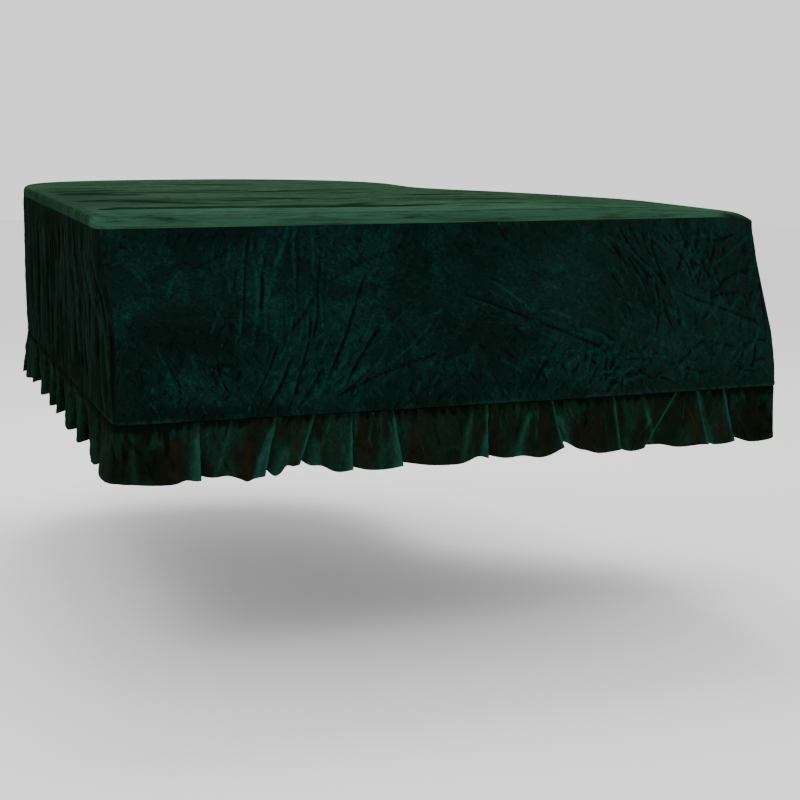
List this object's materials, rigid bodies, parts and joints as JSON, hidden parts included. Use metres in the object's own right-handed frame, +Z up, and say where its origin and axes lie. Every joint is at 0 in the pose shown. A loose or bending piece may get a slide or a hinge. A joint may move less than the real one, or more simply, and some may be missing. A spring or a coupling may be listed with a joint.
{
  "type": "piano cover",
  "caption": "Fitted velvet cover for a small grand piano: flat wing-shaped top, deep skirt with a stepped front, and a pleated flounce at the hem.",
  "frame": {"origin": "on the underside of the top, where the cover bears on the lid, midway across the top's width and 0.62 m behind its front edge", "axes": "+Z up, +Y from the front towards the rounded tail, +X from the straight bass side towards the bentside"},
  "size_m": [1.569, 1.8255, 0.5404],
  "materials": {
    "top_velvet": "velvet, light grey-green where light skims the pile",
    "skirt_velvet": "crushed velvet, very dark bottle green with teal patches",
    "flounce_velvet": "crushed velvet, dark green with brownish shadows in the pleats"
  },
  "bodies": {
    "root": {"top_panel": "top_velvet", "front_panel": "skirt_velvet", "bentside_panel": "skirt_velvet", "tail_panel": "skirt_velvet", "bass_panel": "skirt_velvet", "front_flounce": "flounce_velvet", "bentside_flounce": "flounce_velvet", "tail_flounce": "flounce_velvet", "bass_flounce": "flounce_velvet"}
  },
  "joints": []
}
